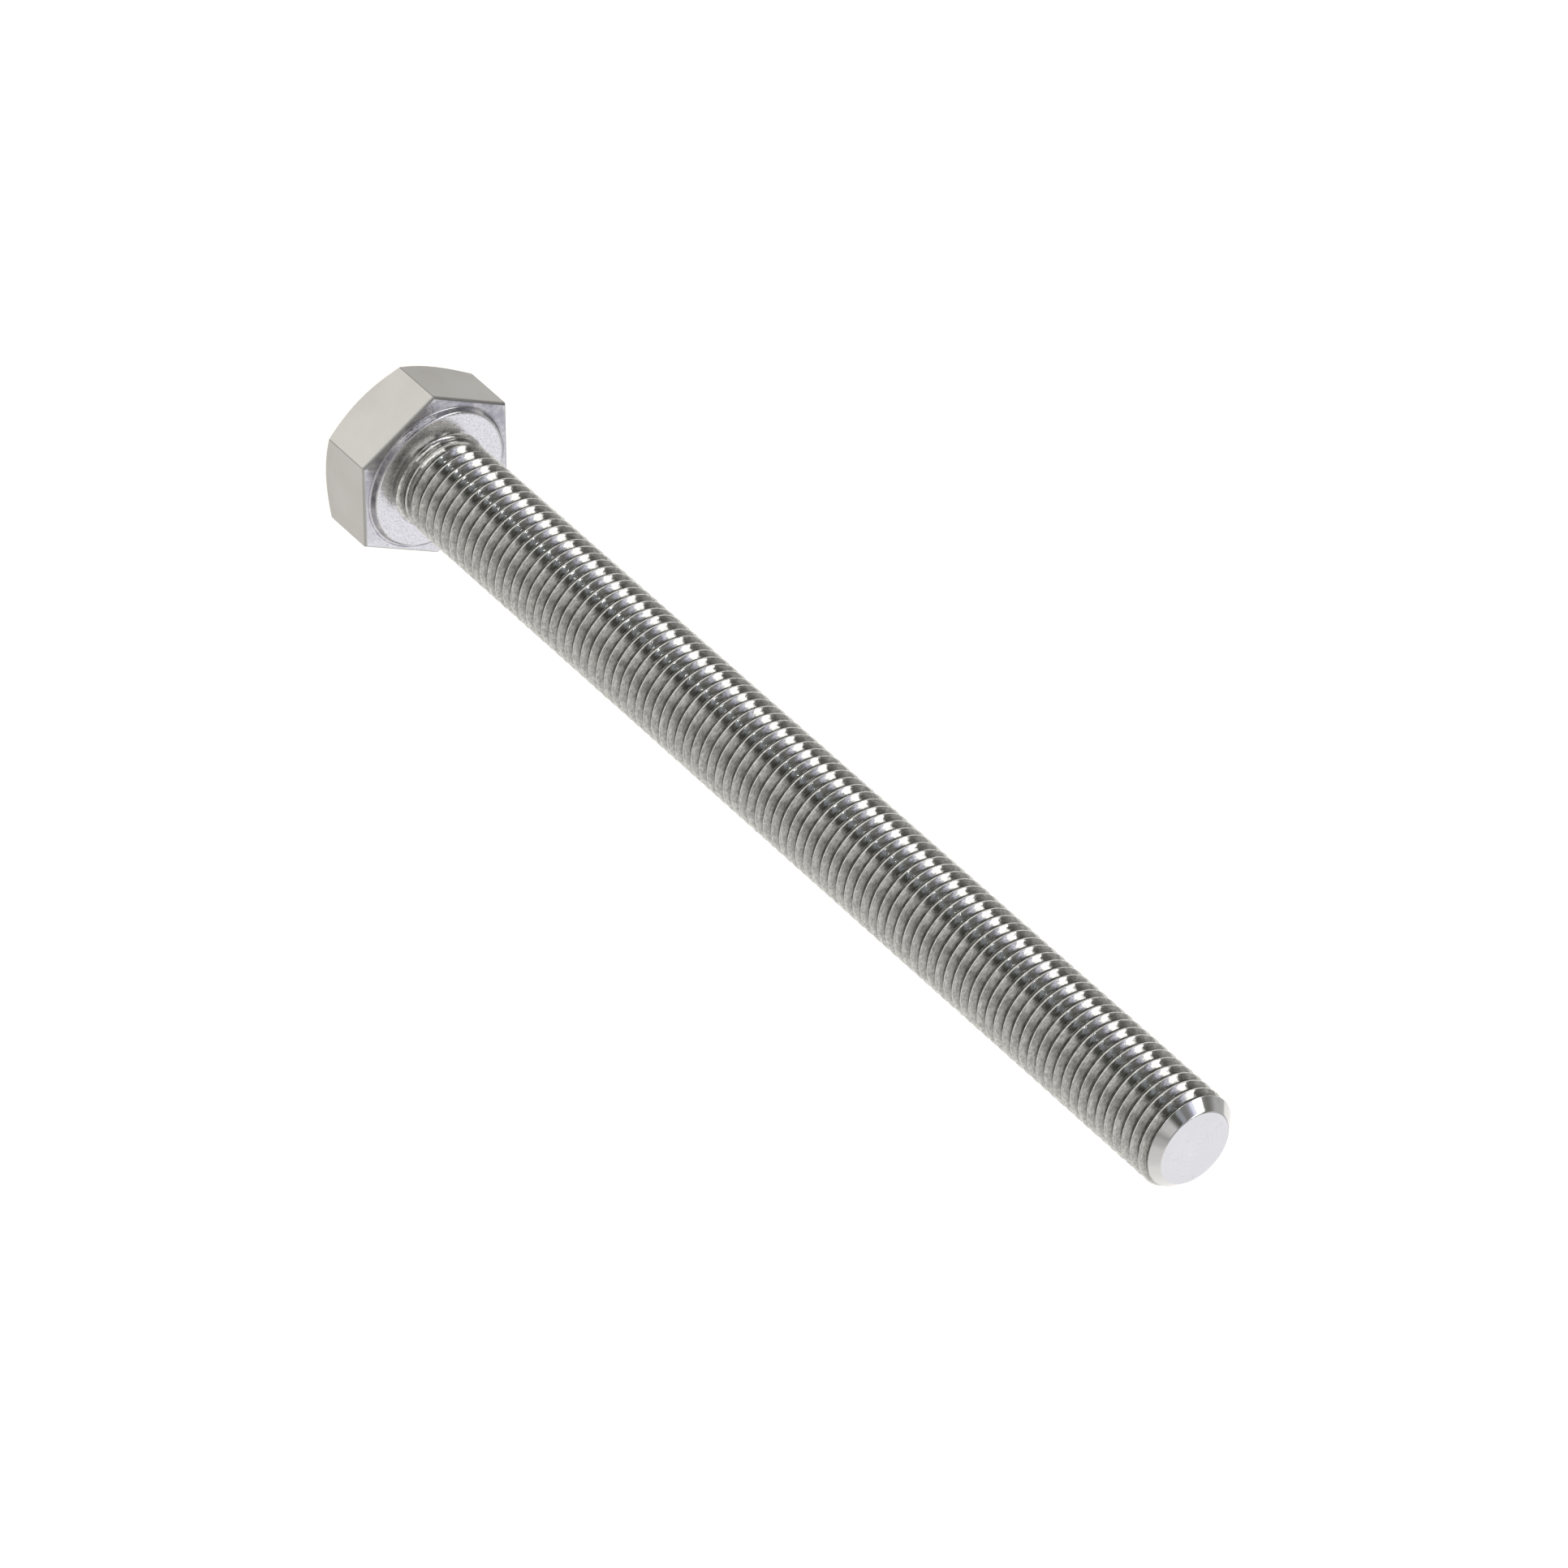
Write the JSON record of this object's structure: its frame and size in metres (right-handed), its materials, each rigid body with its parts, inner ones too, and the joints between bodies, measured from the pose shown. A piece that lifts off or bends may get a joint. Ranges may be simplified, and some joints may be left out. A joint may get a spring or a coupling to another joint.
{
  "type": "hex bolt",
  "caption": "Fully threaded hexagon head bolt with a raised washer face under the head, a fine right-hand thread and a chamfered flat point.",
  "frame": {"origin": "centre of the head's outer face, the face a wrench socket covers, on which the bolt stands", "axes": "+Z along the shank from the head to the point, +X out of the middle of one wrench flat, +Y out of a corner of the hexagon"},
  "size_m": [0.01, 0.0116, 0.0743],
  "materials": {
    "stainless_steel": "bright stainless steel: smooth wrench flats, fine satin grain under the head, rolled thread, smooth turned point"
  },
  "bodies": {
    "root": {"hex_bolt": "stainless_steel"}
  },
  "joints": []
}
